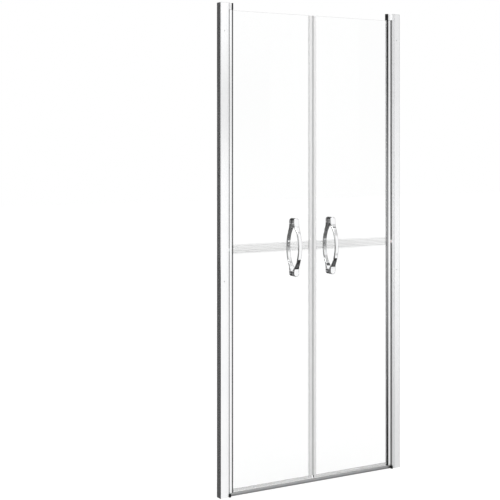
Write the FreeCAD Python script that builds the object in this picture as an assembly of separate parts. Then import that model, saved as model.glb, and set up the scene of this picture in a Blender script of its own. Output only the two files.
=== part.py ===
import FreeCAD, Part
import math
import os

# Double swing shower door between two walls. X runs along the door, Y from the outside
# to the inside of the shower, Z up from the tray. A reach is measured from the wall's face
# towards the middle of the door; the left half is drawn and the right half is its mirror.

# Overall size
DOOR_WIDTH = 860.0
DOOR_HEIGHT = 1900.0

# Wall profile, a U that is screwed to the wall
WALL_DEPTH = 30.0
WALL_REACH = 29.3
WALL_SHEET = 1.6
WALL_CORNER = 2.4
WALL_TIP = 0.5
WALL_HOLE_RADIUS = 3.2
WALL_HOLE_COUNT = 4
WALL_HOLE_END = 100.0

# Jamb profile, which slides in the wall profile
JAMB_REACH = 38.0
JAMB_BACK = 10.0
JAMB_FIT = 0.4
JAMB_SHEET = 1.4
JAMB_CORNER = 0.8
GROOVE_MOUTH = 3.2
GROOVE_WIDTH = 5.6
GROOVE_LIP = 1.2
GROOVE_DEPTH = 4.0

# Adjusting screws between the two profiles
ADJUST_REACH = 17.5
ADJUST_TOP = 109.0
ADJUST_LOW = 830.0
ADJUST_RADIUS = 1.6
ADJUST_HEAD_RADIUS = 2.4
ADJUST_HEAD = 1.0
ADJUST_LENGTH = 6.0
HEAD_ROUND_SHARE = 0.8
SCREW_PLAY = 0.1

# Stile, the pivot profile of a leaf
HUB_RADIUS = 8.8
HUB_GAP = 1.2
HUB_FLAT_SHARE = 0.9
STILE_WALL = 1.5
STILE_SHOULDER = 5.8
STILE_SHOULDER_CORNER = 1.2
STILE_LIP_REACH = 13.8
STILE_LIP = 1.1
STILE_CHANNEL = 5.2

# Glass and its gasket
GLASS = 5.0
GASKET = 0.55
GASKET_GAP = 0.05
GASKET_SHOWS = 0.5
GLASS_TOP_INSET = 1.0

# Top bracket, bearing, pin and cap
BRACKET_HEIGHT = 26.0
BRACKET_FLAT_REACH = 45.8
BRACKET_REACH = 53.8
BRACKET_HALF = 6.5
BRACKET_SKIN = 1.6
BRACKET_ROOF = 3.0
BEARING_REACH = 61.8
BEARING_FIT = 0.15
SPIGOT_LENGTH = 15.0
SPIGOT_FIT = 0.3
CAP_THICK = 1.2
CAP_PLUG = 8.0
BRACKET_SCREW_RADIUS = 1.9
BRACKET_SCREW_LENGTH = 8.0
BRACKET_SCREW_HEAD_RADIUS = 3.3
BRACKET_SCREW_HEAD = 1.8
PIN_RADIUS = 2.5
PIN_PLAY = 0.05
PIN_IN_LEAF = 13.0
PIN_IN_BEARING = 18.0
LEAF_TOP_GAP = 1.0

# Bottom shoe, sill and lower bearing
SILL_HEIGHT = 12.0
SILL_HALF = 6.5
SILL_TOP_HALF = 2.6
SILL_EDGE = 1.6
SILL_BULGE_SHARE = 0.62
SHOE_PLATE = 1.6
SHOE_TONGUE = 2.6
SHOE_TONGUE_REACH = 46.0
SHOE_TONGUE_CORNER = 1.0
SHOE_TOE = 5.0
END_FIT = 0.2
BUSH_WALL = 1.5
BUSH_FLOOR = 1.2
BUSH_PROUD = 0.6
SILL_BORE_FLOOR = 2.0
PRESS_PLAY = 0.02

# Seals in the gap between jamb and leaf, and the glide between their two lengths
STRIP_PLAY = 0.15
STRIP_THICK = 1.6
STRIP_HALF = 12.0
RUB_GAP = 0.3
GLIDE_HEIGHT = 12.0
GLIDE_THICK = 1.8
GLIDE_HALF = 12.4

# Plugs in the ends of the stile
PLUG_LENGTH = 20.0
PLUG_FIT = 0.1
LEAF_BASE_GAP = 1.0
PIVOT_PIN = 9.5

# Middle band, which joins the two panes
BAND_HEIGHT = 36.0
BAND_WALL = 1.2
BAND_WEB = 1.2
BAND_RIBS = 5
BAND_RIB_DEPTH = 0.4
BAND_RIB_SHARE = 0.3
SEAL_PLAY = 0.1

# Seal under the lower pane
BOTTOM_SEAL_GAP = 0.8
BOTTOM_SEAL_LEG = 8.6
BOTTOM_SEAL_BODY = 4.0
BOTTOM_SEAL_WALL = 1.1
BOTTOM_SEAL_ARCH = 2.2

# Closing edge: clear seal in two lengths, with a magnet strip in its nose
MEETING_GAP = 1.2
NOSE_LENGTH = 4.4
NOSE_HALF = 5.0
NOSE_WALL = 0.8
NOSE_WEB = 1.0
CLOSING_LEG = 11.0
CLOSING_JOINT = 858.0
CLOSING_JOINT_GAP = 0.4

# Bow handles
HANDLE_OFFSET = 87.5
HANDLE_DROP = 4.5
HANDLE_LENGTH = 232.0
HANDLE_PAD_HALF = 12.6
HANDLE_MIDDLE_HALF = 8.2
HANDLE_PAD_DEPTH = 17.0
HANDLE_BOW_DEPTH = 46.5
HANDLE_BAR = 7.8
HANDLE_FOOT = 21.0
HANDLE_BEND_START = 16.0
HANDLE_BEND_SHARE = 0.235
HANDLE_TAPER_END = 50.0
HANDLE_TAPER_SHARE = 0.35
HANDLE_ROUND = 2.4
BOLT_SPACING = 207.0
BOLT_RADIUS = 2.9
BOLT_DEPTH = 9.0
BOLT_PLAY = 0.1
GLASS_HOLE_RADIUS = 5.0
WASHER = 1.0
WASHER_RADIUS = 7.5

# How far a cutting tool runs past the piece that it cuts
OVERRUN = 2.0

# Places that follow from the sizes
PIVOT_REACH = JAMB_REACH + HUB_GAP + HUB_RADIUS
HUB_FLAT = HUB_RADIUS * HUB_FLAT_SHARE
JAMB_HALF = WALL_DEPTH / 2 - WALL_SHEET - JAMB_FIT
BRACKET_BASE = DOOR_HEIGHT - BRACKET_HEIGHT
LEAF_TOP = BRACKET_BASE - LEAF_TOP_GAP
LEAF_BASE = SILL_HEIGHT + LEAF_BASE_GAP
GLASS_TOP = LEAF_TOP - GLASS_TOP_INSET
GLASS_HALF = GLASS / 2
LIP_HALF = GLASS_HALF + GASKET_GAP + GASKET
CHANNEL_REACH = PIVOT_REACH + STILE_CHANNEL
LIP_REACH = PIVOT_REACH + STILE_LIP_REACH
GLASS_EDGE_REACH = CHANNEL_REACH + GASKET + GASKET_GAP
MIDDLE = DOOR_HEIGHT / 2
HALF_WIDTH = DOOR_WIDTH / 2
CLOSING_FACE = HALF_WIDTH - MEETING_GAP / 2
GLASS_CLOSING_REACH = CLOSING_FACE - NOSE_LENGTH - NOSE_WEB
CLOSING_LEG_REACH = GLASS_CLOSING_REACH - CLOSING_LEG
SEAL_INNER = GLASS_HALF + GASKET_GAP
BOTTOM_SEAL_BASE = SILL_HEIGHT + BOTTOM_SEAL_GAP
GLASS_BASE = BOTTOM_SEAL_BASE + BOTTOM_SEAL_BODY
BOTTOM_SEAL_TOP = GLASS_BASE + BOTTOM_SEAL_LEG
CAP_BASE = DOOR_HEIGHT - CAP_THICK
HANDLE_REACH = HALF_WIDTH - HANDLE_OFFSET
HANDLE_HEIGHT = MIDDLE - HANDLE_DROP
BOLT_HEIGHTS = [HANDLE_HEIGHT - BOLT_SPACING / 2, HANDLE_HEIGHT + BOLT_SPACING / 2]
ADJUST_HEIGHTS = [ADJUST_LOW, DOOR_HEIGHT - ADJUST_TOP]


def vector(x, y, z):
    return FreeCAD.Vector(x, y, z)


def wall_x(reach):
    """The X of a reach on the left half of the door."""
    return reach - HALF_WIDTH


def rounded_face(corners):
    """A flat face in XY through corners (x, y, radius), with tangent arcs of those radii."""
    edges = []
    previous = None
    first = None
    count = len(corners)
    for i in range(count):
        x, y, radius = corners[i]
        here = vector(x, y, 0)
        back = vector(corners[i - 1][0], corners[i - 1][1], 0).sub(here)
        ahead = vector(corners[(i + 1) % count][0], corners[(i + 1) % count][1], 0).sub(here)
        back.normalize()
        ahead.normalize()
        if radius > 0:
            half = math.acos(max(-1, min(1, back.dot(ahead)))) / 2
            run = radius / math.tan(half)
            bisector = back.add(ahead)
            bisector.normalize()
            start = here.add(back.multiply(run))
            middle = here.add(bisector.multiply(radius / math.sin(half) - radius))
            end = here.add(ahead.multiply(run))
        else:
            start = here
            end = here
        if previous is None:
            first = start
        elif previous.distanceToPoint(start) > 0:
            edges.append(Part.LineSegment(previous, start).toShape())
        if radius > 0:
            edges.append(Part.Arc(start, middle, end).toShape())
        previous = end
    edges.append(Part.LineSegment(previous, first).toShape())
    return Part.Face(Part.Wire(edges))


def mirrored_in_y(corners):
    """Closes an outline that is symmetric about Y = 0, from its front half."""
    return corners + [(x, -y, radius) for x, y, radius in reversed(corners)]


def upright(face, base, top):
    """A plan section raised from one height to another."""
    section = face.copy()
    section.translate(vector(0, 0, base))
    return section.extrude(vector(0, 0, top - base))


def block(start, end, front, back, base, top):
    """A box between two reaches, two depths and two heights."""
    corner = vector(wall_x(start), front, base)
    return Part.makeBox(end - start, back - front, top - base, corner)


def post(radius, reach, y, base, top):
    """An upright cylinder."""
    return Part.makeCylinder(radius, top - base, vector(wall_x(reach), y, base), vector(0, 0, 1))


def cross_post(radius, reach, front, back, height):
    """A cylinder along Y."""
    start = vector(wall_x(reach), front, height)
    return Part.makeCylinder(radius, back - front, start, vector(0, 1, 0))


def save(name, shape):
    shape.exportStep("parts/" + name + ".step")


def save_pair(name, shape):
    """Writes a piece of the left half and its mirror on the right half."""
    save("left_" + name, shape)
    save("right_" + name, shape.mirror(vector(0, 0, 0), vector(1, 0, 0)))


# Wall profile
def wall_hole_heights():
    step = (DOOR_HEIGHT - 2 * WALL_HOLE_END) / (WALL_HOLE_COUNT - 1)
    return [WALL_HOLE_END + step * i for i in range(WALL_HOLE_COUNT)]


def wall_profile():
    half = WALL_DEPTH / 2
    inner = half - WALL_SHEET
    corners = [
        (wall_x(0), -half, WALL_CORNER),
        (wall_x(WALL_REACH), -half, WALL_TIP),
        (wall_x(WALL_REACH), -inner, 0),
        (wall_x(WALL_SHEET), -inner, 0),
    ]
    shape = upright(rounded_face(mirrored_in_y(corners)), 0, CAP_BASE)
    for height in wall_hole_heights():
        start = vector(wall_x(-OVERRUN), 0, height)
        length = WALL_SHEET + 2 * OVERRUN
        shape = shape.cut(Part.makeCylinder(WALL_HOLE_RADIUS, length, start, vector(1, 0, 0)))
    for height in ADJUST_HEIGHTS:
        radius = ADJUST_RADIUS + 2 * SCREW_PLAY
        shape = shape.cut(cross_post(radius, ADJUST_REACH, -half - OVERRUN, -inner + OVERRUN, height))
    return shape


# Jamb profile
def groove_parts(play, overrun):
    """The T-shaped room for a strip in the jamb's nose, or a strip's foot with play all round."""
    neck = block(
        JAMB_REACH - GROOVE_LIP - 2 * play,
        JAMB_REACH + overrun,
        -GROOVE_MOUTH / 2 + play,
        GROOVE_MOUTH / 2 - play,
        0,
        DOOR_HEIGHT,
    )
    foot = block(
        JAMB_REACH - GROOVE_DEPTH + play,
        JAMB_REACH - GROOVE_LIP - play,
        -GROOVE_WIDTH / 2 + play,
        GROOVE_WIDTH / 2 - play,
        0,
        DOOR_HEIGHT,
    )
    return neck.fuse(foot)


def jamb_profile():
    outer = [
        (wall_x(JAMB_BACK), -JAMB_HALF, JAMB_CORNER),
        (wall_x(JAMB_REACH), -JAMB_HALF, JAMB_CORNER),
    ]
    room_half = GROOVE_WIDTH / 2 + JAMB_SHEET
    inner_half = JAMB_HALF - JAMB_SHEET
    hollow = [
        (wall_x(JAMB_BACK + JAMB_SHEET), -inner_half, 0),
        (wall_x(JAMB_REACH - JAMB_SHEET), -inner_half, 0),
        (wall_x(JAMB_REACH - JAMB_SHEET), -room_half, 0),
        (wall_x(JAMB_REACH - GROOVE_DEPTH - JAMB_SHEET), -room_half, 0),
    ]
    section = rounded_face(mirrored_in_y(outer)).cut(rounded_face(mirrored_in_y(hollow)))
    shape = upright(section.Faces[0], 0, CAP_BASE)
    shape = shape.cut(groove_parts(0, OVERRUN))
    notch_start = JAMB_REACH - GROOVE_DEPTH - JAMB_SHEET - OVERRUN
    notch_end = JAMB_REACH + OVERRUN
    low = SILL_HEIGHT + END_FIT
    high = BRACKET_BASE - END_FIT
    shape = shape.cut(block(notch_start, notch_end, -inner_half, inner_half, -OVERRUN, low))
    shape = shape.cut(block(notch_start, notch_end, -inner_half, inner_half, high, DOOR_HEIGHT))
    for height in ADJUST_HEIGHTS:
        radius = ADJUST_RADIUS + SCREW_PLAY
        front = -JAMB_HALF - OVERRUN
        shape = shape.cut(cross_post(radius, ADJUST_REACH, front, -inner_half + OVERRUN, height))
    radius = BRACKET_SCREW_RADIUS + SCREW_PLAY
    back = JAMB_HALF + OVERRUN
    hole = cross_post(radius, bracket_screw_reach(), inner_half - OVERRUN, back, bracket_screw_height())
    return shape.cut(hole)


def adjust_screws():
    face = -WALL_DEPTH / 2
    screws = []
    for height in ADJUST_HEIGHTS:
        shank = cross_post(ADJUST_RADIUS, ADJUST_REACH, face, face + ADJUST_LENGTH, height)
        head = cross_post(ADJUST_HEAD_RADIUS, ADJUST_REACH, face - ADJUST_HEAD, face, height)
        rim = [e for e in head.Edges if e.Closed and e.BoundBox.YMax < face - ADJUST_HEAD / 2]
        head = head.makeFillet(ADJUST_HEAD * HEAD_ROUND_SHARE, rim)
        screws.append(shank.fuse(head).removeSplitter())
    return Part.makeCompound(screws)


# Top bracket with its screw, bearing and pin
def bracket_screw_reach():
    return (WALL_REACH + JAMB_REACH) / 2


def bracket_screw_height():
    return (BRACKET_BASE + DOOR_HEIGHT) / 2


def spigot(base, top):
    """The block in the end of the jamb that carries a bracket or a shoe."""
    half = JAMB_HALF - JAMB_SHEET - SPIGOT_FIT
    return block(JAMB_REACH - SPIGOT_LENGTH, JAMB_REACH, -half, half, base, top)


def top_bracket():
    corners = [
        (wall_x(JAMB_REACH), -JAMB_HALF, 0),
        (wall_x(BRACKET_FLAT_REACH), -BRACKET_HALF, BRACKET_SKIN),
        (wall_x(BRACKET_REACH), -BRACKET_HALF, 0),
    ]
    shape = upright(rounded_face(mirrored_in_y(corners)), BRACKET_BASE, DOOR_HEIGHT)
    shape = shape.fuse(spigot(BRACKET_BASE, CAP_BASE - END_FIT))
    pocket_half = BRACKET_HALF - BRACKET_SKIN
    shape = shape.cut(
        block(
            bearing_pocket_reach(),
            BRACKET_REACH + OVERRUN,
            -pocket_half,
            pocket_half,
            BRACKET_BASE - OVERRUN,
            DOOR_HEIGHT - BRACKET_ROOF,
        )
    )
    tip = JAMB_HALF - BRACKET_SCREW_LENGTH - SCREW_PLAY
    radius = BRACKET_SCREW_RADIUS + SCREW_PLAY / 2
    hole = cross_post(radius, bracket_screw_reach(), tip, JAMB_HALF, bracket_screw_height())
    return shape.cut(hole).removeSplitter()


def bracket_screw():
    reach = bracket_screw_reach()
    height = bracket_screw_height()
    tip = JAMB_HALF - BRACKET_SCREW_LENGTH
    top = JAMB_HALF + BRACKET_SCREW_HEAD
    shank = cross_post(BRACKET_SCREW_RADIUS, reach, tip, JAMB_HALF, height)
    head = cross_post(BRACKET_SCREW_HEAD_RADIUS, reach, JAMB_HALF, top, height)
    rim = [e for e in head.Edges if e.Closed and e.BoundBox.YMin > JAMB_HALF + BRACKET_SCREW_HEAD / 2]
    head = head.makeFillet(BRACKET_SCREW_HEAD * HEAD_ROUND_SHARE, rim)
    return shank.fuse(head).removeSplitter()


def bearing_pocket_reach():
    return PIVOT_REACH - PIN_RADIUS - 2 * BRACKET_SKIN


def top_bearing():
    half = BRACKET_HALF - BRACKET_SKIN - BEARING_FIT
    body = block(
        bearing_pocket_reach() + BEARING_FIT,
        BRACKET_REACH,
        -half,
        half,
        BRACKET_BASE,
        DOOR_HEIGHT - BRACKET_ROOF - BEARING_FIT,
    )
    head = [
        (wall_x(BRACKET_REACH), -BRACKET_HALF, 0),
        (wall_x(BEARING_REACH), -BRACKET_HALF, BRACKET_SKIN),
    ]
    shape = upright(rounded_face(mirrored_in_y(head)), BRACKET_BASE, DOOR_HEIGHT)
    shape = shape.fuse(body)
    radius = PIN_RADIUS + PRESS_PLAY
    top = BRACKET_BASE + PIN_IN_BEARING + BEARING_FIT
    return shape.cut(post(radius, PIVOT_REACH, 0, BRACKET_BASE - OVERRUN, top)).removeSplitter()


def top_pin():
    shape = post(PIN_RADIUS, PIVOT_REACH, 0, LEAF_TOP - PIN_IN_LEAF, BRACKET_BASE + PIN_IN_BEARING)
    low = [e for e in shape.Edges if e.Closed and e.BoundBox.ZMax < LEAF_TOP]
    return shape.makeChamfer(PIN_RADIUS / 4, low)


def top_cap():
    half = WALL_DEPTH / 2
    plate = [
        (wall_x(0), -half, WALL_CORNER),
        (wall_x(WALL_REACH), -half, WALL_TIP),
        (wall_x(WALL_REACH), -JAMB_HALF, 0),
        (wall_x(JAMB_REACH - END_FIT), -JAMB_HALF, 0),
    ]
    shape = upright(rounded_face(mirrored_in_y(plate)), CAP_BASE, DOOR_HEIGHT)
    plug_half = JAMB_HALF - JAMB_SHEET - SPIGOT_FIT
    start = JAMB_BACK + JAMB_SHEET + SPIGOT_FIT
    end = JAMB_REACH - SPIGOT_LENGTH - SPIGOT_FIT
    plug = block(start, end, -plug_half, plug_half, CAP_BASE - CAP_PLUG, CAP_BASE)
    return shape.fuse(plug).removeSplitter()


# Bottom shoe, sill and lower bush
def bottom_shoe():
    shape = spigot(0, SILL_HEIGHT)
    plate = block(JAMB_REACH, JAMB_REACH + SHOE_PLATE, -JAMB_HALF, JAMB_HALF, 0, SILL_HEIGHT)
    shape = shape.fuse(plate)
    toe = -JAMB_HALF - SHOE_TOE
    heel = -JAMB_HALF + SHOE_TONGUE
    tongue = [
        (wall_x(JAMB_REACH), toe, SHOE_TONGUE_CORNER),
        (wall_x(SHOE_TONGUE_REACH), toe, SHOE_TONGUE_CORNER),
        (wall_x(SHOE_TONGUE_REACH), heel, SHOE_TONGUE_CORNER),
        (wall_x(JAMB_REACH), heel, 0),
    ]
    front = upright(rounded_face(tongue), 0, SILL_HEIGHT)
    back = front.mirror(vector(0, 0, 0), vector(0, 1, 0))
    return shape.fuse(front).fuse(back).removeSplitter()


def sill():
    """Low threshold whose two flanks are arcs that lean in from the base to a narrow flat top."""
    flank_z = SILL_EDGE + (SILL_HEIGHT - SILL_EDGE) * SILL_BULGE_SHARE
    flank_y = SILL_TOP_HALF + (SILL_HALF - SILL_TOP_HALF) * SILL_BULGE_SHARE
    front = [
        (-SILL_HALF, 0),
        (-SILL_HALF, SILL_EDGE),
        (-flank_y, flank_z),
        (-SILL_TOP_HALF, SILL_HEIGHT),
    ]
    start = wall_x(JAMB_REACH + SHOE_PLATE + END_FIT)
    points = [vector(start, y, z) for y, z in front]
    mirror = [vector(start, -y, z) for y, z in front]
    wire = Part.Wire(
        [
            Part.LineSegment(points[0], points[1]).toShape(),
            Part.Arc(points[1], points[2], points[3]).toShape(),
            Part.LineSegment(points[3], mirror[3]).toShape(),
            Part.Arc(mirror[3], mirror[2], mirror[1]).toShape(),
            Part.LineSegment(mirror[1], mirror[0]).toShape(),
            Part.LineSegment(mirror[0], points[0]).toShape(),
        ]
    )
    shape = Part.Face(wire).extrude(vector(-2 * start, 0, 0))
    bore = post(bush_radius() + PRESS_PLAY, PIVOT_REACH, 0, SILL_BORE_FLOOR, SILL_HEIGHT + OVERRUN)
    shape = shape.cut(bore)
    return shape.cut(bore.mirror(vector(0, 0, 0), vector(1, 0, 0)))


def bush_radius():
    return PIN_RADIUS + PIN_PLAY + BUSH_WALL


def bottom_bush():
    shape = post(bush_radius(), PIVOT_REACH, 0, SILL_BORE_FLOOR, SILL_HEIGHT + BUSH_PROUD)
    floor = SILL_BORE_FLOOR + BUSH_FLOOR
    top = SILL_HEIGHT + OVERRUN
    return shape.cut(post(PIN_RADIUS + PIN_PLAY, PIVOT_REACH, 0, floor, top))


# Strips and glide in the jamb's nose
def nose_strip(thick, half, base, top):
    """A plate with its foot in the jamb's groove, hollowed to the round back of the stile."""
    plate = block(JAMB_REACH, JAMB_REACH + thick, -half, half, base, top)
    foot = groove_parts(STRIP_PLAY, 0).common(block(0, HALF_WIDTH, -WALL_DEPTH, WALL_DEPTH, base, top))
    room = post(HUB_RADIUS + RUB_GAP, PIVOT_REACH, 0, base - OVERRUN, top + OVERRUN)
    return plate.fuse(foot).cut(room).removeSplitter()


def jamb_strips():
    low_top = MIDDLE - GLIDE_HEIGHT / 2 - END_FIT
    high_base = MIDDLE + GLIDE_HEIGHT / 2 + END_FIT
    low = nose_strip(STRIP_THICK, STRIP_HALF, SILL_HEIGHT + 2 * END_FIT, low_top)
    high = nose_strip(STRIP_THICK, STRIP_HALF, high_base, BRACKET_BASE - 2 * END_FIT)
    return Part.makeCompound([low, high])


def middle_glide():
    return nose_strip(GLIDE_THICK, GLIDE_HALF, MIDDLE - GLIDE_HEIGHT / 2, MIDDLE + GLIDE_HEIGHT / 2)


# Stile
def hub_face(radius, flat_half, end_reach):
    """A round back about the pivot that runs out in two flats to a straight end."""
    away = math.sqrt(radius * radius - flat_half * flat_half)
    centre = wall_x(PIVOT_REACH)
    low = vector(centre - away, -flat_half, 0)
    high = vector(centre - away, flat_half, 0)
    low_end = vector(wall_x(end_reach), -flat_half, 0)
    high_end = vector(wall_x(end_reach), flat_half, 0)
    edges = [
        Part.Arc(low, vector(centre - radius, 0, 0), high).toShape(),
        Part.LineSegment(high, high_end).toShape(),
        Part.LineSegment(high_end, low_end).toShape(),
        Part.LineSegment(low_end, low).toShape(),
    ]
    return Part.Face(Part.Wire(edges))


def stile_hollow(play):
    radius = HUB_RADIUS - STILE_WALL - play
    return hub_face(radius, HUB_FLAT - STILE_WALL - play, CHANNEL_REACH - STILE_WALL - play)


def stile():
    hub = hub_face(HUB_RADIUS, HUB_FLAT, PIVOT_REACH + STILE_SHOULDER / 2)
    lip_outer = LIP_HALF + STILE_LIP
    nose = [
        (wall_x(PIVOT_REACH), -HUB_FLAT, 0),
        (wall_x(PIVOT_REACH + STILE_SHOULDER), -HUB_FLAT, STILE_SHOULDER_CORNER),
        (wall_x(LIP_REACH), -lip_outer, STILE_LIP / 3),
        (wall_x(LIP_REACH), -LIP_HALF, 0),
        (wall_x(CHANNEL_REACH), -LIP_HALF, 0),
    ]
    shape = upright(hub, LEAF_BASE, LEAF_TOP)
    shape = shape.fuse(upright(rounded_face(mirrored_in_y(nose)), LEAF_BASE, LEAF_TOP))
    shape = shape.cut(upright(stile_hollow(0), LEAF_BASE - OVERRUN, LEAF_TOP + OVERRUN))
    return shape.removeSplitter()


def glass_gasket():
    corners = [
        (wall_x(CHANNEL_REACH), -LIP_HALF, 0),
        (wall_x(LIP_REACH + GASKET_SHOWS), -LIP_HALF, GASKET / 3),
        (wall_x(LIP_REACH + GASKET_SHOWS), -SEAL_INNER, 0),
        (wall_x(CHANNEL_REACH + GASKET), -SEAL_INNER, 0),
    ]
    return upright(rounded_face(mirrored_in_y(corners)), LEAF_BASE, GLASS_TOP)


def stile_plug(base, top):
    return upright(stile_hollow(PLUG_FIT), base, top)


def top_bush():
    shape = stile_plug(LEAF_TOP - PLUG_LENGTH, LEAF_TOP)
    radius = PIN_RADIUS + PIN_PLAY
    return shape.cut(post(radius, PIVOT_REACH, 0, LEAF_TOP - PLUG_LENGTH - OVERRUN, LEAF_TOP + OVERRUN))


def bottom_pivot():
    shape = stile_plug(LEAF_BASE, LEAF_BASE + PLUG_LENGTH)
    pin = post(PIN_RADIUS, PIVOT_REACH, 0, LEAF_BASE - PIVOT_PIN, LEAF_BASE + OVERRUN)
    low = [e for e in pin.Edges if e.Closed and e.BoundBox.ZMax < LEAF_BASE]
    return shape.fuse(pin.makeChamfer(PIN_RADIUS / 4, low)).removeSplitter()


# Panes and the clear profiles on their edges
def pane(base, top, hole_height):
    shape = block(GLASS_EDGE_REACH, GLASS_CLOSING_REACH, -GLASS_HALF, GLASS_HALF, base, top)
    end = GLASS_HALF + OVERRUN
    return shape.cut(cross_post(GLASS_HOLE_RADIUS, HANDLE_REACH, -end, end, hole_height))


def upper_pane():
    return pane(MIDDLE + BAND_WEB / 2 + SEAL_PLAY, GLASS_TOP, BOLT_HEIGHTS[1])


def lower_pane():
    return pane(GLASS_BASE, MIDDLE - BAND_WEB / 2 - SEAL_PLAY, BOLT_HEIGHTS[0])


def door_section(points, start, end):
    """A section given as (Y, Z) points, carried along the door between two reaches."""
    ring = [vector(wall_x(start), y, z) for y, z in points]
    wire = Part.makePolygon(ring + ring[:1])
    return Part.Face(wire).extrude(vector(end - start, 0, 0))


def middle_band():
    """H-profile with shallow grooves along its outer faces."""
    outer = SEAL_INNER + BAND_WALL
    half = BAND_HEIGHT / 2
    step = BAND_HEIGHT / (BAND_RIBS + 1)
    groove = step * BAND_RIB_SHARE / 2
    ribs = [(outer, MIDDLE - half)]
    for i in range(BAND_RIBS):
        centre = MIDDLE - half + step * (i + 1)
        ribs.append((outer, centre - groove))
        ribs.append((outer - BAND_RIB_DEPTH, centre - groove / 2))
        ribs.append((outer - BAND_RIB_DEPTH, centre + groove / 2))
        ribs.append((outer, centre + groove))
    ribs.append((outer, MIDDLE + half))
    upper = [
        (SEAL_INNER, MIDDLE + half),
        (SEAL_INNER, MIDDLE + BAND_WEB / 2),
        (-SEAL_INNER, MIDDLE + BAND_WEB / 2),
        (-SEAL_INNER, MIDDLE + half),
    ]
    lower = [(-y, 2 * MIDDLE - z) for y, z in upper]
    points = ribs + upper + [(-y, z) for y, z in reversed(ribs)] + lower
    return door_section(points, band_start(), CLOSING_LEG_REACH - END_FIT)


def band_start():
    return LIP_REACH + GASKET_SHOWS + END_FIT


def bottom_seal():
    outer = SEAL_INNER + BOTTOM_SEAL_WALL
    seat = GLASS_BASE - SEAL_PLAY
    front = [
        (-SEAL_INNER, seat),
        (-SEAL_INNER, BOTTOM_SEAL_TOP),
        (-outer, BOTTOM_SEAL_TOP),
        (-outer - BOTTOM_SEAL_WALL / 2, BOTTOM_SEAL_BASE),
        (-outer + BOTTOM_SEAL_WALL, BOTTOM_SEAL_BASE),
        (-SEAL_INNER + BOTTOM_SEAL_WALL / 2, BOTTOM_SEAL_BASE + BOTTOM_SEAL_ARCH),
    ]
    points = front + [(-y, z) for y, z in reversed(front)]
    return door_section(points, band_start(), GLASS_CLOSING_REACH)


def closing_section():
    outer = SEAL_INNER + BAND_WALL
    edge = GLASS_CLOSING_REACH + SEAL_PLAY
    corners = [
        (wall_x(CLOSING_LEG_REACH), -outer, BAND_WALL / 3),
        (wall_x(CLOSING_FACE - NOSE_LENGTH - NOSE_WEB), -outer, 0),
        (wall_x(CLOSING_FACE - NOSE_LENGTH), -NOSE_HALF, 0),
        (wall_x(CLOSING_FACE), -NOSE_HALF, NOSE_WALL / 2),
        (wall_x(CLOSING_FACE), NOSE_HALF, NOSE_WALL / 2),
        (wall_x(CLOSING_FACE - NOSE_LENGTH), NOSE_HALF, 0),
        (wall_x(CLOSING_FACE - NOSE_LENGTH - NOSE_WEB), outer, 0),
        (wall_x(CLOSING_LEG_REACH), outer, BAND_WALL / 3),
        (wall_x(CLOSING_LEG_REACH), SEAL_INNER, 0),
        (wall_x(edge), SEAL_INNER, 0),
        (wall_x(edge), -SEAL_INNER, 0),
        (wall_x(CLOSING_LEG_REACH), -SEAL_INNER, 0),
    ]
    return rounded_face(corners)


def magnet_section(play):
    half = NOSE_HALF - NOSE_WALL - play
    start = CLOSING_FACE - NOSE_LENGTH + NOSE_WALL + play
    end = CLOSING_FACE - NOSE_WALL - play
    return rounded_face(mirrored_in_y([(wall_x(start), -half, 0), (wall_x(end), -half, 0)]))


def closing_spans():
    low = (BOTTOM_SEAL_TOP + END_FIT, CLOSING_JOINT - CLOSING_JOINT_GAP / 2)
    high = (CLOSING_JOINT + CLOSING_JOINT_GAP / 2, GLASS_TOP)
    return [low, high]


def closing_seal():
    lengths = []
    for base, top in closing_spans():
        shell = upright(closing_section(), base, top)
        room = upright(magnet_section(0), base - OVERRUN, top + OVERRUN)
        lengths.append(shell.cut(room))
    return Part.makeCompound(lengths)


def magnet_strips():
    section = magnet_section(PLUG_FIT)
    return Part.makeCompound([upright(section, base, top) for base, top in closing_spans()])


# Bow handle
def s_curve(start, end, first_share):
    """Two tangent arcs between two (a, height) points, upright at both, meeting at a share."""
    rise = end[0] - start[0]
    run = end[1] - start[1]
    turn = 2 * math.atan2(abs(rise), abs(run))
    total = abs(run) / math.sin(turn)
    side = math.copysign(1, rise)
    way = math.copysign(1, run)
    first = total * first_share
    second = total - first
    meet = (start[0] + rise * first_share, start[1] + run * first_share)
    sweep = math.sin(turn / 2)
    lag = 1 - math.cos(turn / 2)
    first_mid = (start[0] + side * first * lag, start[1] + way * first * sweep)
    second_mid = (end[0] - side * second * lag, end[1] - way * second * sweep)
    return [(start, first_mid, meet), (meet, second_mid, end)]


def reversed_arcs(arcs):
    return [(end, middle, start) for start, middle, end in reversed(arcs)]


def lowered(arcs):
    """The same arcs turned upside down about the handle's middle."""
    return [((a[0], -a[1]), (b[0], -b[1]), (c[0], -c[1])) for a, b, c in arcs]


def outline_face(steps, place):
    """A face through lines (two points) and arcs (three), each put in space by place."""
    edges = []
    for step in steps:
        spots = [place(point) for point in step]
        if len(spots) == 3:
            edges.append(Part.Arc(spots[0], spots[1], spots[2]).toShape())
        else:
            edges.append(Part.LineSegment(spots[0], spots[1]).toShape())
    return Part.Face(Part.Wire(edges))


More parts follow.
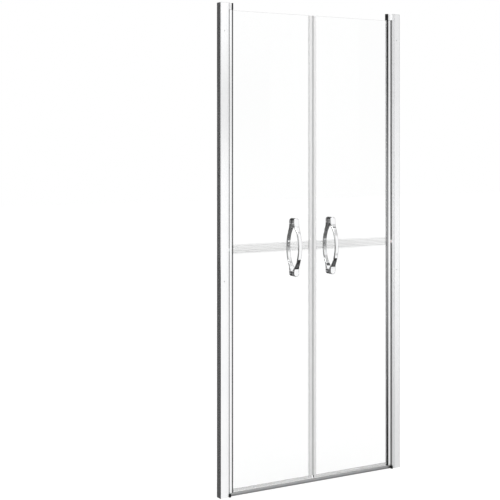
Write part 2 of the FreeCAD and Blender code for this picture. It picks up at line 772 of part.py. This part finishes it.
def bow_side_steps():
    """Side view: two pads, with the bar bowed out between them over one long arc."""
    half = HANDLE_LENGTH / 2
    bend = half - HANDLE_BEND_START
    foot = half - HANDLE_FOOT
    outer = s_curve((HANDLE_PAD_DEPTH, bend), (HANDLE_BOW_DEPTH, 0), HANDLE_BEND_SHARE)
    steps = [
        ((WASHER, half), (HANDLE_PAD_DEPTH, half)),
        ((HANDLE_PAD_DEPTH, half), (HANDLE_PAD_DEPTH, bend)),
    ]
    steps += outer
    steps += reversed_arcs(lowered(outer))
    steps += [
        ((HANDLE_PAD_DEPTH, -bend), (HANDLE_PAD_DEPTH, -half)),
        ((HANDLE_PAD_DEPTH, -half), (WASHER, -half)),
        ((WASHER, -half), (WASHER, -foot)),
        ((WASHER, -foot), (HANDLE_BOW_DEPTH - HANDLE_BAR, 0), (WASHER, foot)),
        ((WASHER, foot), (WASHER, half)),
    ]
    return steps


def bow_front_steps():
    """Front view: round pads whose sides draw in to a narrower bar at the middle."""
    half = HANDLE_LENGTH / 2
    pad = HANDLE_PAD_HALF
    centre = half - pad
    start = half - HANDLE_BEND_START
    taper = s_curve((pad, start), (HANDLE_MIDDLE_HALF, HANDLE_TAPER_END), HANDLE_TAPER_SHARE)
    right = [((pad, centre), (pad, start))] + taper
    right += [((HANDLE_MIDDLE_HALF, HANDLE_TAPER_END), (HANDLE_MIDDLE_HALF, -HANDLE_TAPER_END))]
    right += reversed_arcs(lowered(taper))
    right += [((pad, -start), (pad, -centre))]
    left = [tuple((-a, z) for a, z in reversed(step)) for step in reversed(right)]
    bottom = [((pad, -centre), (0, -half), (-pad, -centre))]
    top = [((-pad, centre), (0, half), (pad, centre))]
    return right + bottom + left + top


def outer_handle():
    reach = wall_x(HANDLE_REACH)

    def side_place(point):
        return vector(reach - 2 * HANDLE_PAD_HALF, -GLASS_HALF - point[0], HANDLE_HEIGHT + point[1])

    def front_place(point):
        return vector(reach + point[0], 0, HANDLE_HEIGHT + point[1])

    side = outline_face(bow_side_steps(), side_place).extrude(vector(4 * HANDLE_PAD_HALF, 0, 0))
    front = outline_face(bow_front_steps(), front_place).extrude(vector(0, -2 * HANDLE_BOW_DEPTH, 0))
    shape = side.common(front)
    shape = shape.makeFillet(HANDLE_ROUND, soft_edges(shape))
    for height in BOLT_HEIGHTS:
        radius = BOLT_RADIUS + BOLT_PLAY
        deep = -GLASS_HALF - WASHER - BOLT_DEPTH - BOLT_PLAY
        shape = shape.cut(cross_post(radius, HANDLE_REACH, deep, 0, height))
    return shape


def soft_edges(shape):
    """The edges that run along the bar and round the pads, not those that lie on the washers."""
    seat = -GLASS_HALF - WASHER
    boxes = [(edge, edge.BoundBox) for edge in shape.Edges]
    off_seat = [(edge, box) for edge, box in boxes if box.YMin < seat - HANDLE_ROUND]
    return [edge for edge, box in off_seat if box.ZLength > max(box.YLength, HANDLE_ROUND)]


def inner_handle():
    return outer_handle().mirror(vector(0, 0, 0), vector(0, 1, 0))


def handle_bolts():
    end = GLASS_HALF + WASHER + BOLT_DEPTH
    return Part.makeCompound([cross_post(BOLT_RADIUS, HANDLE_REACH, -end, end, z) for z in BOLT_HEIGHTS])


def handle_washers():
    washers = []
    for height in BOLT_HEIGHTS:
        for front in (-GLASS_HALF - WASHER, GLASS_HALF):
            disc = cross_post(WASHER_RADIUS, HANDLE_REACH, front, front + WASHER, height)
            radius = BOLT_RADIUS + BOLT_PLAY
            hole = cross_post(radius, HANDLE_REACH, front - OVERRUN, front + WASHER + OVERRUN, height)
            washers.append(disc.cut(hole))
    return Part.makeCompound(washers)


os.makedirs("parts", exist_ok=True)

POST_PIECES = [
    wall_profile,
    jamb_profile,
    adjust_screws,
    top_cap,
    top_bracket,
    bracket_screw,
    top_bearing,
    top_pin,
    bottom_shoe,
    bottom_bush,
    jamb_strips,
    middle_glide,
]
LEAF_PIECES = [
    stile,
    glass_gasket,
    top_bush,
    bottom_pivot,
    upper_pane,
    lower_pane,
    middle_band,
    bottom_seal,
    closing_seal,
    magnet_strips,
    outer_handle,
    inner_handle,
    handle_bolts,
    handle_washers,
]

for piece in POST_PIECES + LEAF_PIECES:
    save_pair(piece.__name__, piece())

save("sill", sill())
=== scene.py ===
import math
from typing import NamedTuple

import bpy
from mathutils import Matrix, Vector

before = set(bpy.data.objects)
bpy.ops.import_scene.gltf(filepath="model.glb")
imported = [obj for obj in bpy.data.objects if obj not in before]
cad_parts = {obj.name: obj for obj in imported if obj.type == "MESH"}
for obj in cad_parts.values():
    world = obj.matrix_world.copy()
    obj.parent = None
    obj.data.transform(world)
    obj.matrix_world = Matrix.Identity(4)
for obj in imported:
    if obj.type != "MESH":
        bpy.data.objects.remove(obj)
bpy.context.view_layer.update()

# Lengths and places are in metres: +X to the right seen from outside, +Y into the shower, +Z up from the tray
MM = 0.001

# The photograph's frame in its own pixels, and the camera that its perspective gives
PHOTO_SIZE = 500
FOCAL_PIXELS = 1155
HORIZON_ROW = 143.4
SENSOR_MM = 36.0
CAMERA_PLACE = (-2.566, -3.879, 1.359)
CAMERA_DIRECTION = (0.506, 0.8625)

# Material for each kind of CAD node, without its side
FINISHES = {
    "wall_profile": "satin_aluminium",
    "jamb_profile": "aluminium",
    "stile": "aluminium",
    "top_bracket": "cast",
    "sill": "sill_metal",
    "top_cap": "cap_plastic",
    "adjust_screws": "steel",
    "bracket_screw": "steel",
    "top_pin": "steel",
    "bottom_pivot": "steel",
    "handle_bolts": "steel",
    "top_bearing": "black_plastic",
    "bottom_shoe": "black_plastic",
    "bottom_bush": "nylon",
    "top_bush": "nylon",
    "middle_glide": "nylon",
    "jamb_strips": "rubber",
    "glass_gasket": "gasket",
    "handle_washers": "rubber",
    "magnet_strips": "magnet",
    "upper_pane": "glass",
    "lower_pane": "glass",
    "middle_band": "vinyl",
    "bottom_seal": "low_vinyl",
    "closing_seal": "upright_vinyl",
    "outer_handle": "chrome",
    "inner_handle": "chrome",
}

# Most of a noise's values lie between these two
NOISE_LOW = 0.3
NOISE_HIGH = 0.7

# Aluminium mirrors fully, apart from faces to the front and back, which do so by this share. The change
# begins and ends at these Y parts of a face's normal
FRONT_METALLIC = 0.55
FRONT_BEGINS = 0.96
FRONT_REACHED = 0.99

# A pane is ground edge where the Y part of its normal is under the first value, and clear over the second
EDGE_ENDS = 0.6
CLEAR_REACHED = 0.9
EDGE_ROUGHNESS = 0.22

GLASS_IOR = 1.5
PLASTIC_IOR = 1.5

# What the cloud in the vinyl adds to its tone
CLOUD_TONES = 0.01

# Height at which the painted shade on the sill's foot has faded out, and the part that stains have in its
# tone
SILL_SHADE_FADE = 12 * MM
SILL_STAINS = 0.12

# Grey line where the closing seals meet: its tone, and how far from the door's middle it is full and ends
SEAM_TONE = 0.34
SEAM_FULL = 1.2 * MM
SEAM_ENDS = 2.6 * MM


class Nodes:
    """A node tree with short calls for the nodes that this scene uses. They take sockets or plain values."""

    def __init__(self, tree):
        self.tree = tree

    def add(self, kind, **settings):
        node = self.tree.nodes.new(kind)
        for key, value in settings.items():
            setattr(node, key, value)
        return node

    def feed(self, socket, value):
        """Link a socket to another one, or set it to a number or a colour of three parts."""
        if isinstance(value, bpy.types.NodeSocket):
            self.tree.links.new(value, socket)
        else:
            socket.default_value = (*value, 1) if isinstance(value, tuple) else value

    def calc(self, operation, *values, clamp=False):
        node = self.add("ShaderNodeMath", operation=operation, use_clamp=clamp)
        for socket, value in zip(node.inputs, values):
            self.feed(socket, value)
        return node.outputs["Value"]

    def span(self, value, low, high, start=NOISE_LOW, end=NOISE_HIGH, kind="LINEAR"):
        """value, which runs from start to end, moved to run from low to high."""
        node = self.add("ShaderNodeMapRange", interpolation_type=kind)
        inputs = {"Value": value, "From Min": start, "From Max": end, "To Min": low, "To Max": high}
        for key, given in inputs.items():
            self.feed(node.inputs[key], given)
        return node.outputs["Result"]

    def blend(self, share, first, second, kind="RGBA"):
        """From first to second as share runs from 0 to 1: colours, or numbers for the kind FLOAT."""
        node = self.add("ShaderNodeMix", data_type=kind)
        for key, given in {"Factor": share, "A": first, "B": second}.items():
            self.feed(node.inputs[key], given)
        return node.outputs["Result"]

    def part(self, vector, axis):
        """The part of a vector along one axis."""
        split = self.add("ShaderNodeSeparateXYZ")
        self.feed(split.inputs["Vector"], vector)
        return split.outputs[axis]

    def light_path(self):
        return self.add("ShaderNodeLightPath").outputs

    def ray_is_seen(self):
        """1 where a ray comes from the camera, a reflection or a view through glass, else 0."""
        path = self.light_path()
        in_air = self.calc("MAXIMUM", path["Is Camera Ray"], path["Is Glossy Ray"])
        return self.calc("MAXIMUM", in_air, path["Is Transmission Ray"])


class Finish(Nodes):
    """A material, with calls for its noises, its Principled BSDF and its output."""

    def __init__(self, name):
        self.material = bpy.data.materials.new(name)
        self.material.use_nodes = True
        super().__init__(self.material.node_tree)
        self.shader = self.tree.nodes["Principled BSDF"]
        coordinates = self.add("ShaderNodeTexCoord").outputs
        self.place = coordinates["Object"]
        self.normal = coordinates["Normal"]

    def set(self, **values):
        """Set or link inputs of the Principled BSDF, with underscores for the spaces in their names."""
        for key, value in values.items():
            self.feed(self.shader.inputs[key.replace("_", " ")], value)

    def noise(self, cells, stretch=(1, 1, 1), detail=3.0, rough=0.5):
        """Noise in object space, with a number of cells per metre and a share of them on each axis."""
        mapping = self.add("ShaderNodeMapping")
        mapping.inputs["Scale"].default_value = [cells * share for share in stretch]
        self.feed(mapping.inputs["Vector"], self.place)
        made = self.add("ShaderNodeTexNoise")
        self.feed(made.inputs["Vector"], mapping.outputs["Vector"])
        for key, value in {"Scale": 1.0, "Detail": detail, "Roughness": rough}.items():
            made.inputs[key].default_value = value
        return made.outputs["Fac"]

    def by_facing(self, sides, fronts, start, end):
        """The value sides on faces that look sideways or up, and fronts on faces to the front or back."""
        flatness = self.calc("ABSOLUTE", self.part(self.normal, "Y"))
        return self.span(flatness, sides, fronts, start=start, end=end)

    def mottle(self, noise, dark, light):
        """Let the base colour follow a noise."""
        self.set(Base_Color=self.blend(self.span(noise, 0, 1), dark, light))

    def gloss(self, noise, smooth, rough):
        """Let the roughness follow a noise."""
        self.set(Roughness=self.span(noise, smooth, rough))

    def relief(self, height, depth):
        node = self.add("ShaderNodeBump")
        node.inputs["Distance"].default_value = depth
        self.feed(node.inputs["Height"], height)
        self.set(Normal=node.outputs["Normal"])

    def glow(self, colour, strength=1.0):
        node = self.add("ShaderNodeEmission")
        self.feed(node.inputs["Color"], colour)
        node.inputs["Strength"].default_value = strength
        return node.outputs["Emission"]

    def blend_shaders(self, share, first, second):
        node = self.add("ShaderNodeMixShader")
        for socket, value in zip(node.inputs, (share, first, second)):
            self.feed(socket, value)
        return node.outputs["Shader"]

    def show(self, shader):
        self.feed(self.tree.nodes["Material Output"].inputs["Surface"], shader)


def drawn(axis, share):
    """A noise's stretch that draws its cells out along one axis, which keeps this share of them."""
    return [share if name == axis else 1 for name in "XYZ"]


def grained(name, grain, dark, light, smooth, rough, depth, **inputs):
    """A material whose colour, gloss and relief all follow one fine noise, given by what noise() takes."""
    made = Finish(name)
    noise = made.noise(**grain)
    made.set(**inputs)
    made.mottle(noise, dark, light)
    made.gloss(noise, smooth, rough)
    made.relief(noise, depth)
    return made.material


def aluminium(name, smooth, rough):
    """Bright anodised aluminium with the fine lines that the die leaves, satin to the front and back."""
    made = Finish(name)
    lines = made.noise(cells=1400, stretch=drawn("Z", 0.004), detail=4)
    smudges = made.noise(cells=9, detail=5, rough=0.6)
    made.set(Metallic=made.by_facing(sides=1.0, fronts=FRONT_METALLIC, start=FRONT_BEGINS, end=FRONT_REACHED))
    made.mottle(smudges, dark=(0.93, 0.935, 0.945), light=(0.96, 0.963, 0.968))
    made.gloss(lines, smooth, rough)
    made.relief(lines, depth=0.01 * MM)
    return made.material


def sill_metal():
    """Satin anodised threshold with faint stains, and painted shade that darkens it towards the tray."""
    made = Finish("sill_metal")
    lines = made.noise(cells=1400, stretch=drawn("X", 0.004), detail=4)
    stains = made.noise(cells=25, stretch=drawn("X", 0.3), detail=6, rough=0.65)
    # Painted shade: the colour darkens from the fade height down to the tray, by height alone
    height = made.span(made.part(made.place, "Z"), 0, 1, start=0, end=SILL_SHADE_FADE)
    tone = made.blend(SILL_STAINS, height, stains, kind="FLOAT")
    # The dark colour is the painted shade at the sill's foot; the light one is the satin metal above it
    made.set(Metallic=1.0, Base_Color=made.blend(tone, (0.10, 0.102, 0.105), (0.58, 0.585, 0.59)))
    made.gloss(lines, smooth=0.3, rough=0.42)
    made.relief(lines, depth=0.01 * MM)
    return made.material


def chrome():
    """Mirror plate with the faintest haze of handling."""
    made = Finish("chrome")
    haze = made.noise(cells=60, detail=6, rough=0.65)
    made.set(Metallic=1.0)
    made.mottle(haze, dark=(0.94, 0.945, 0.955), light=(0.965, 0.968, 0.972))
    made.gloss(haze, smooth=0.03, rough=0.085)
    return made.material


def steel():
    """Turned stainless steel with rings from the tool."""
    rings = {"cells": 2600, "stretch": drawn("Y", 0.1), "detail": 2}
    return grained(
        "steel", rings, dark=(0.56, 0.57, 0.58), light=(0.68, 0.69, 0.70),
        smooth=0.18, rough=0.32, depth=0.02 * MM, Metallic=1.0,
    )


def cast():
    """Satin cast bracket, bright but not a mirror."""
    sand = {"cells": 1100, "detail": 4}
    return grained(
        "cast", sand, dark=(0.80, 0.803, 0.806), light=(0.85, 0.853, 0.856),
        smooth=0.4, rough=0.52, depth=0.03 * MM, Metallic=0.3,
    )


def black_plastic():
    """Moulded black plastic with a fine spark-eroded grain and a little wear."""
    made = Finish("black_plastic")
    grain = made.noise(cells=1800, detail=3)
    wear = made.noise(cells=45, detail=5)
    made.set(Specular_IOR_Level=0.2)
    made.mottle(wear, dark=(0.008, 0.008, 0.009), light=(0.02, 0.02, 0.021))
    made.gloss(grain, smooth=0.34, rough=0.52)
    made.relief(grain, depth=0.05 * MM)
    return made.material


def cap_plastic():
    """Grey moulded cap with a satin face."""
    skin = {"cells": 1300, "detail": 3}
    return grained(
        "cap_plastic", skin, dark=(0.52, 0.53, 0.54), light=(0.60, 0.61, 0.62),
        smooth=0.3, rough=0.44, depth=0.04 * MM,
    )


def nylon():
    """White nylon, a little cloudy."""
    cloud = {"cells": 220, "detail": 4}
    return grained(
        "nylon", cloud, dark=(0.80, 0.80, 0.78), light=(0.88, 0.88, 0.87),
        smooth=0.38, rough=0.5, depth=0.03 * MM, Subsurface_Weight=0.15, Subsurface_Scale=2 * MM,
    )


def rubber(name, dark, light):
    """Satin grey elastomer, between two tones."""
    streaks = {"cells": 900, "stretch": drawn("Z", 0.06), "detail": 4}
    return grained(
        name, streaks, dark=(dark,) * 3, light=(light,) * 3,
        smooth=0.42, rough=0.58, depth=0.04 * MM,
    )


def magnet():
    """Flexible magnet strip, with the fine mill of its rolling."""
    mill = {"cells": 1500, "stretch": drawn("Z", 0.05), "detail": 4}
    return grained(
        "magnet", mill, dark=(0.22, 0.22, 0.218), light=(0.30, 0.30, 0.297),
        smooth=0.5, rough=0.7, depth=0.04 * MM,
    )


def vinyl(name, along, clear, tint=0.98, seam=False):
    """Clear extruded vinyl with draw lines along one axis. clear is its share of transmission, tint is its
    tone, and a seam adds the grey line where the two leaves meet."""
    made = Finish(name)
    lines = made.noise(cells=700, stretch=drawn(along, 0.01), detail=4)
    cloud = made.noise(cells=30, detail=4)
    tone = made.blend(made.span(cloud, 0, 1), (tint,) * 3, (tint + CLOUD_TONES,) * 3)
    if seam:
        away = made.calc("ABSOLUTE", made.part(made.place, "X"))
        outside = made.span(away, 0, 1, start=SEAM_FULL, end=SEAM_ENDS)
        tone = made.blend(outside, (SEAM_TONE,) * 3, tone)
    made.set(Transmission_Weight=clear, IOR=PLASTIC_IOR, Base_Color=tone)
    made.gloss(lines, smooth=0.06, rough=0.14)
    made.relief(lines, depth=0.03 * MM)
    return made.material


def glass():
    """Clear toughened glass with a slight ripple, and ground edges that show its grey-green body."""
    made = Finish("glass")
    ripple = made.noise(cells=3, detail=2)
    grind = made.noise(cells=2000, detail=3)
    edge = made.by_facing(sides=1, fronts=0, start=EDGE_ENDS, end=CLEAR_REACHED)
    made.set(
        Transmission_Weight=1.0,
        IOR=GLASS_IOR,
        Base_Color=made.blend(edge, first=(0.996, 0.999, 0.998), second=(0.60, 0.70, 0.67)),
        Roughness=made.calc("MULTIPLY", edge, EDGE_ROUGHNESS),
    )
    ground = made.calc("MULTIPLY", grind, edge)
    made.relief(made.calc("ADD", ground, ripple), depth=0.02 * MM)
    return made.material


MATERIALS = {
    "aluminium": aluminium("aluminium", smooth=0.05, rough=0.13),
    "satin_aluminium": aluminium("satin_aluminium", smooth=0.09, rough=0.15),
    "sill_metal": sill_metal(),
    "chrome": chrome(),
    "steel": steel(),
    "black_plastic": black_plastic(),
    "nylon": nylon(),
    "rubber": rubber("rubber", dark=0.22, light=0.28),
    "gasket": rubber("gasket", dark=0.62, light=0.70),
    "magnet": magnet(),
    "cap_plastic": cap_plastic(),
    "cast": cast(),
    "vinyl": vinyl("vinyl", along="X", clear=1.0),
    "low_vinyl": vinyl("low_vinyl", along="X", clear=0.8, tint=0.975),
    "upright_vinyl": vinyl("upright_vinyl", along="Z", clear=0.3, seam=True),
    "glass": glass(),
}

for name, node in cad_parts.items():
    kind = name.removeprefix("left_").removeprefix("right_")
    for slot in node.material_slots:
        slot.link = "OBJECT"
        slot.material = MATERIALS[FINISHES[kind]]


# The sky is white where it is seen and lights the object with the strength SKY_LIGHT. The floor glows white
# where it is seen, apart from the share FLOOR_SHADOW, in which it takes light and shadow
WHITE = (1.0, 1.0, 1.0)
SKY_LIGHT = 0.85
FLOOR_SIZE = 40.0
FLOOR_GLOW = 1.2
FLOOR_SHADOW = 0.3

# Dark round card under the floor, for faces of the metal that look down, and the tone that the floor has
# in its place where they reflect it through a pane
BELOW_LEVEL = -3.0
BELOW_RADIUS = 8.2
BELOW_CENTRE = (-1.8, 2.4)
BELOW_CORNERS = 48
BELOW_SHADE = 0.04
BELOW_GLASS_SHADE = 0.17

# Foot and top of an upright card, the height of its middle shade, and how far from there that has faded
CARD_BASE = -2.5
CARD_TOP = 3.6
MIDDLE_HEIGHT = 0.7
MIDDLE_REACH = 1.4


class Heading(NamedTuple):
    """A direction from a point of the door, and the distance at which cards stand square to it."""
    origin: tuple
    direction: tuple
    distance: float


BACK_LEFT = Heading((-0.43, 0), (-0.56, 0.83), 2.2)
BACK_HIGH = Heading((0, 0), (0, 1), 2.5)
LEFT = Heading((-0.2, 0), (-0.956, -0.292), 2.3)
RIGHT = Heading((0, 0), (0.94, -0.34), 2.4)
FAR_RIGHT = Heading((0, 0), (0.866, 0.5), 2.4)
NEAR = Heading((-0.4, 0), (-0.15, -0.98), 2.9)
LEFT_POST_FRONT = Heading((-0.42, 0), (0.482, -0.876), 2.9)
RIGHT_POST_FRONT = Heading((0.42, 0), (0.6115, -0.791), 2.9)

# Stretch of the cards at BACK_LEFT that the handles' flanks reflect, and its paler part between two heights
FLANK_SPAN = (0.27, 0.46)
FLANK_SHADE = 0.19
FLANK_PALE_BASE = 0.69
FLANK_PALE_TOP = 0.785

# Darker patches just in front of that stretch
PATCH_END = 0.55
PATCH_SHADE = 0.03
PATCH_STEP = 0.62
PATCH_NEARER = 0.02

# Cards at RIGHT, with a white gap between two heights
RIGHT_SHADE = 0.11
RIGHT_GAP_SPAN = (0.1, 0.78)
RIGHT_GAP_BASE = 0.69
RIGHT_GAP_TOP = 1.77

# Where the two cards at NEAR meet
NEAR_SPLIT = -0.2


def sky():
    world = bpy.data.worlds.new("studio")
    bpy.context.scene.world = world
    world.use_nodes = True
    nodes = Nodes(world.node_tree)
    background = world.node_tree.nodes["Background"]
    nodes.feed(background.inputs["Color"], WHITE)
    strength = nodes.span(nodes.ray_is_seen(), SKY_LIGHT, 1.0, start=0, end=1)
    nodes.feed(background.inputs["Strength"], strength)


def sheet_object(name, corners):
    mesh = bpy.data.meshes.new(name)
    mesh.from_pydata(corners, [], [range(len(corners))])
    made = bpy.data.objects.new(name, mesh)
    bpy.context.scene.collection.objects.link(made)
    return made


def floor():
    """White floor that keeps part of the object's shadow, dark where metal reflects it through a pane."""
    half = FLOOR_SIZE / 2
    made = sheet_object("floor", [(-half, -half, 0), (half, -half, 0), (half, half, 0), (-half, half, 0)])
    finish = Finish("floor")
    grain = finish.noise(cells=14, detail=5)
    colour = finish.blend(grain, first=(0.80, 0.80, 0.80), second=(0.83, 0.83, 0.83))
    finish.set(Roughness=0.9, Specular_IOR_Level=0.0, Base_Color=colour)
    glowing = finish.calc("MULTIPLY", finish.ray_is_seen(), 1 - FLOOR_SHADOW)
    white = finish.blend_shaders(glowing, finish.shader.outputs["BSDF"], finish.glow(WHITE, FLOOR_GLOW))
    path = finish.light_path()
    through_pane = finish.calc("MULTIPLY", path["Is Transmission Ray"], path["Glossy Depth"], clamp=True)
    finish.show(finish.blend_shaders(through_pane, white, finish.glow((BELOW_GLASS_SHADE,) * 3)))
    made.data.materials.append(finish.material)
    made.visible_glossy = False


def add_card(name, corners, shade, middle_shade, middle, reach):
    """A card that only reflections in metal show. The camera, the light on the object and the sharp
    reflections of clear glass pass it. Its tone is middle_shade at the height middle, and shade from reach
    above and below that."""
    finish = Finish(name)
    rise = finish.calc("SUBTRACT", finish.part(finish.place, "Z"), middle)
    fade = finish.span(finish.calc("ABSOLUTE", rise), 0, 1, start=0, end=reach, kind="SMOOTHSTEP")
    glow = finish.glow(finish.blend(fade, (middle_shade,) * 3, (shade,) * 3))
    path = finish.light_path()
    sharp = finish.calc("MULTIPLY", path["Is Singular Ray"], path["Is Reflection Ray"])
    reflected = finish.calc("SUBTRACT", path["Glossy Depth"], sharp, clamp=True)
    clear = finish.add("ShaderNodeBsdfTransparent").outputs["BSDF"]
    finish.show(finish.blend_shaders(reflected, clear, glow))
    made = sheet_object(name, corners)
    made.data.materials.append(finish.material)
    made.visible_camera = False
    made.visible_diffuse = False
    made.visible_shadow = False


def card(name, heading, span, shade, middle_shade=None, base=CARD_BASE, top=CARD_TOP, nearer=0.0,
         middle=MIDDLE_HEIGHT, reach=MIDDLE_REACH):
    """An upright card square to a heading, over a span measured to the right of it and from base to top."""
    way = Vector((*heading.direction, 0)).normalized()
    right = Vector((way.y, -way.x, 0))
    foot = Vector((*heading.origin, base)) + way * (heading.distance - nearer)
    up = Vector((0, 0, top - base))
    first = foot + right * span[0]
    last = foot + right * span[1]
    corners = [first, last, last + up, first + up]
    add_card(name, corners, shade, shade if middle_shade is None else middle_shade, middle, reach)


def card_below():
    centre = Vector((*BELOW_CENTRE, BELOW_LEVEL))
    turns = [2 * math.pi * corner / BELOW_CORNERS for corner in range(BELOW_CORNERS)]
    corners = [centre + BELOW_RADIUS * Vector((math.cos(turn), math.sin(turn), 0)) for turn in turns]
    add_card("card_below", corners, BELOW_SHADE, BELOW_SHADE, MIDDLE_HEIGHT, MIDDLE_REACH)


def cards():
    """Each card stands where some faces of the metal reflect it to the photograph's camera."""
    card("card_back_left", BACK_LEFT, span=(-2.4, FLANK_SPAN[0]), shade=0.08)
    card("card_back", BACK_LEFT, FLANK_SPAN, FLANK_SHADE, top=FLANK_PALE_BASE)
    card("card_back_middle", BACK_LEFT, FLANK_SPAN, shade=0.55, base=FLANK_PALE_BASE, top=FLANK_PALE_TOP)
    card("card_back_upper", BACK_LEFT, FLANK_SPAN, FLANK_SHADE, base=FLANK_PALE_TOP)
    card(
        "card_back_low", BACK_LEFT, span=(FLANK_SPAN[0], PATCH_END), shade=PATCH_SHADE,
        base=PATCH_STEP, top=0.675, nearer=PATCH_NEARER,
    )
    card(
        "card_back_tilt", BACK_LEFT, span=(0.43, PATCH_END), shade=PATCH_SHADE,
        base=0.4, top=PATCH_STEP, nearer=PATCH_NEARER,
    )
    card("card_back_high", BACK_HIGH, span=(-1.5, 1.5), shade=0.06, base=1.7, top=4.0)
    card("card_left", LEFT, span=(-1.15, 1.15), shade=0.06, top=0.66)
    card("card_right", RIGHT, span=(-1.28, RIGHT_GAP_SPAN[0]), shade=RIGHT_SHADE)
    card("card_right_low", RIGHT, RIGHT_GAP_SPAN, RIGHT_SHADE, top=RIGHT_GAP_BASE)
    card("card_right_high", RIGHT, RIGHT_GAP_SPAN, RIGHT_SHADE, base=RIGHT_GAP_TOP)
    card("card_near", NEAR, span=(NEAR_SPLIT, 2.4), shade=0.10)
    card("card_near_right", NEAR, span=(-1.0, NEAR_SPLIT), shade=0.035, middle_shade=0.32)
    card("card_front", RIGHT_POST_FRONT, span=(-0.8, 0.25), shade=0.68, middle_shade=0.98, base=-0.9)
    card("card_far_right", FAR_RIGHT, span=(-1.1, 1.0), shade=0.12)
    card(
        "card_near_front", LEFT_POST_FRONT, span=(-0.32, 0.32), shade=1.0, middle_shade=0.68,
        base=1.08, top=2.18, middle=1.63, reach=0.55,
    )
    card_below()


def lamp(name, place, target, size, power):
    data = bpy.data.lights.new(name, "AREA")
    data.shape = "DISK"
    data.size = size
    data.energy = power
    made = bpy.data.objects.new(name, data)
    made.location = place
    made.rotation_euler = (Vector(target) - Vector(place)).to_track_quat("-Z", "Y").to_euler()
    bpy.context.scene.collection.objects.link(made)


def camera():
    """The photograph's camera, level and with its frame shifted down, so that upright lines stay parallel."""
    data = bpy.data.cameras.new("camera")
    data.sensor_width = SENSOR_MM
    data.lens = SENSOR_MM * FOCAL_PIXELS / PHOTO_SIZE
    data.shift_y = (HORIZON_ROW - PHOTO_SIZE / 2) / PHOTO_SIZE
    made = bpy.data.objects.new("camera", data)
    made.location = CAMERA_PLACE
    made.rotation_euler = (math.pi / 2, 0, -math.atan2(*CAMERA_DIRECTION))
    bpy.context.scene.collection.objects.link(made)
    bpy.context.scene.camera = made


sky()
floor()
cards()
lamp("key", place=(-1.6, -2.6, 3.2), target=(0, 0, 0.9), size=1.6, power=45)
camera()
bpy.context.scene.view_settings.view_transform = "Standard"
